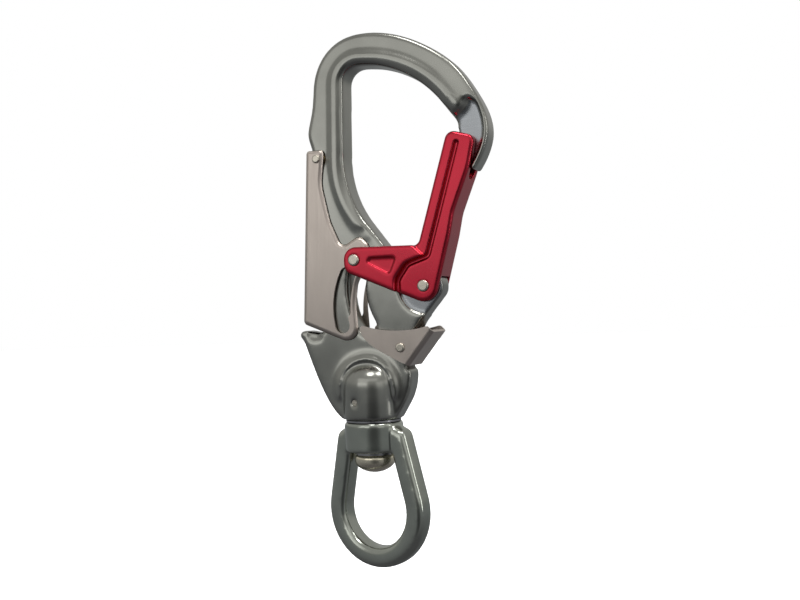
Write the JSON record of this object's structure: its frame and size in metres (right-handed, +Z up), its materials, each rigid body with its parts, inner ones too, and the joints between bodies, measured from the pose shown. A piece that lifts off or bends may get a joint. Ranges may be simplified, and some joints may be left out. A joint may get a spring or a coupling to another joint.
{
  "type": "snap shackle",
  "caption": "Forged swivel snap shackle: hook with a rope bead, red inward gate locked by a spine lever, thumb trigger guarding the lever, and a turning pear-shaped eye.",
  "frame": {"origin": "on the swivel axis, 7.5 mm under the crown of the hook: the centre of a 15 mm bar seated in the crown", "axes": "+Z up along the load line and the swivel axis, hook above and eye below; +X from the spine towards the gate; -Y is the front face, the middle plane of the hook is Y = 0"},
  "size_m": [0.0848, 0.0248, 0.2197],
  "materials": {
    "forged_grey": "hard-anodised grey forging, satin",
    "eye_grey": "hard-anodised grey forging, satin",
    "red_anodised": "red anodised aluminium, satin",
    "stainless_plate": "satin stainless plate",
    "rivet_steel": "bright steel",
    "bolt_nickel": "warm nickel-plated steel",
    "bush_bronze": "sintered bronze",
    "spring_steel": "spring steel"
  },
  "bodies": {
    "hook": {"hook_body": "forged_grey", "swivel_bolt": "bolt_nickel", "swivel_lock_pin": "rivet_steel", "thrust_washer_upper": "spring_steel", "thrust_washer_lower": "spring_steel", "lever_pivot_bush": "bush_bronze", "gate_pivot_bush": "bush_bronze", "trigger_bush": "bush_bronze", "gate_spring": "spring_steel", "trigger_spring": "spring_steel"},
    "eye": {"swivel_eye": "eye_grey", "swivel_bush": "bush_bronze"},
    "gate": {"gate_block": "red_anodised", "gate_pivot_rivet": "rivet_steel", "gate_washer_front": "rivet_steel", "gate_washer_rear": "rivet_steel", "gate_lock_pin": "rivet_steel"},
    "lever": {"spine_lever": "stainless_plate", "lever_pivot_rivet": "rivet_steel", "lever_spring": "spring_steel"},
    "trigger": {"trigger_plate": "stainless_plate", "trigger_rivet": "rivet_steel"}
  },
  "joints": [
    {"name": "gate_swing", "type": "hinge", "parent": "hook", "child": "gate", "pos_m": [0.0263, 0, -0.0845], "axis": [0, -1, 0], "range_deg": [0, 38], "stiffness_Nm_per_rad": 0.12, "springref_deg": -28.65},
    {"name": "lever_squeeze", "type": "hinge", "parent": "hook", "child": "lever", "pos_m": [-0.0185, 0, -0.0299], "axis": [0, -1, 0], "range_deg": [0, 3.8], "deforming": ["lever_spring"]},
    {"name": "trigger_press", "type": "hinge", "parent": "hook", "child": "trigger", "pos_m": [0.0161, 0, -0.1089], "axis": [0, -1, 0], "range_deg": [0, 24], "stiffness_Nm_per_rad": 0.03, "springref_deg": -28.65},
    {"name": "eye_swivel", "type": "hinge", "parent": "hook", "child": "eye", "pos_m": [0, 0, -0.145], "axis": [0, 0, 1], "continuous": true}
  ],
  "couplings": [
    {"joint": "lever_squeeze", "follows": "gate_swing", "ratio": 0.1}
  ]
}
